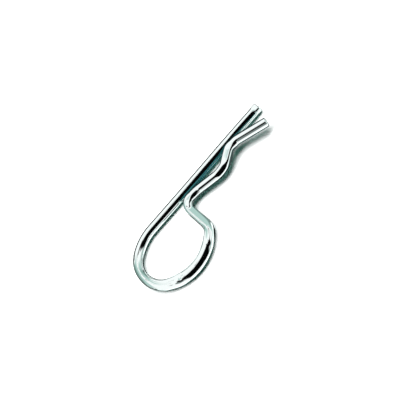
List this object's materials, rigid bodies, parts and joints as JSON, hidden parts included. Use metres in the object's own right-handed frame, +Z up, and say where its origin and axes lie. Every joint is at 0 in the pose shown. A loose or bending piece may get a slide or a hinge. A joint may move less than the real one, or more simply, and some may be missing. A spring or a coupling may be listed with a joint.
{
  "type": "hitch r clip pin",
  "caption": "Round spring wire bent into an R shaped retaining clip: a straight leg, a large pear-shaped eye, and a waved leg that grips a cross-drilled shaft.",
  "frame": {"origin": "on the surface the clip lies on, under the middle of its bounding box", "axes": "+X along the straight leg from the eye towards both tips; the waved leg is on the -Y side of the straight leg; +Z up, across the flat of the clip"},
  "size_m": [0.0836, 0.0288, 0.0074],
  "materials": {
    "zinc_plated_wire": "bright zinc plated spring steel"
  },
  "bodies": {
    "root": {"clip_wire": "zinc_plated_wire"}
  },
  "joints": []
}
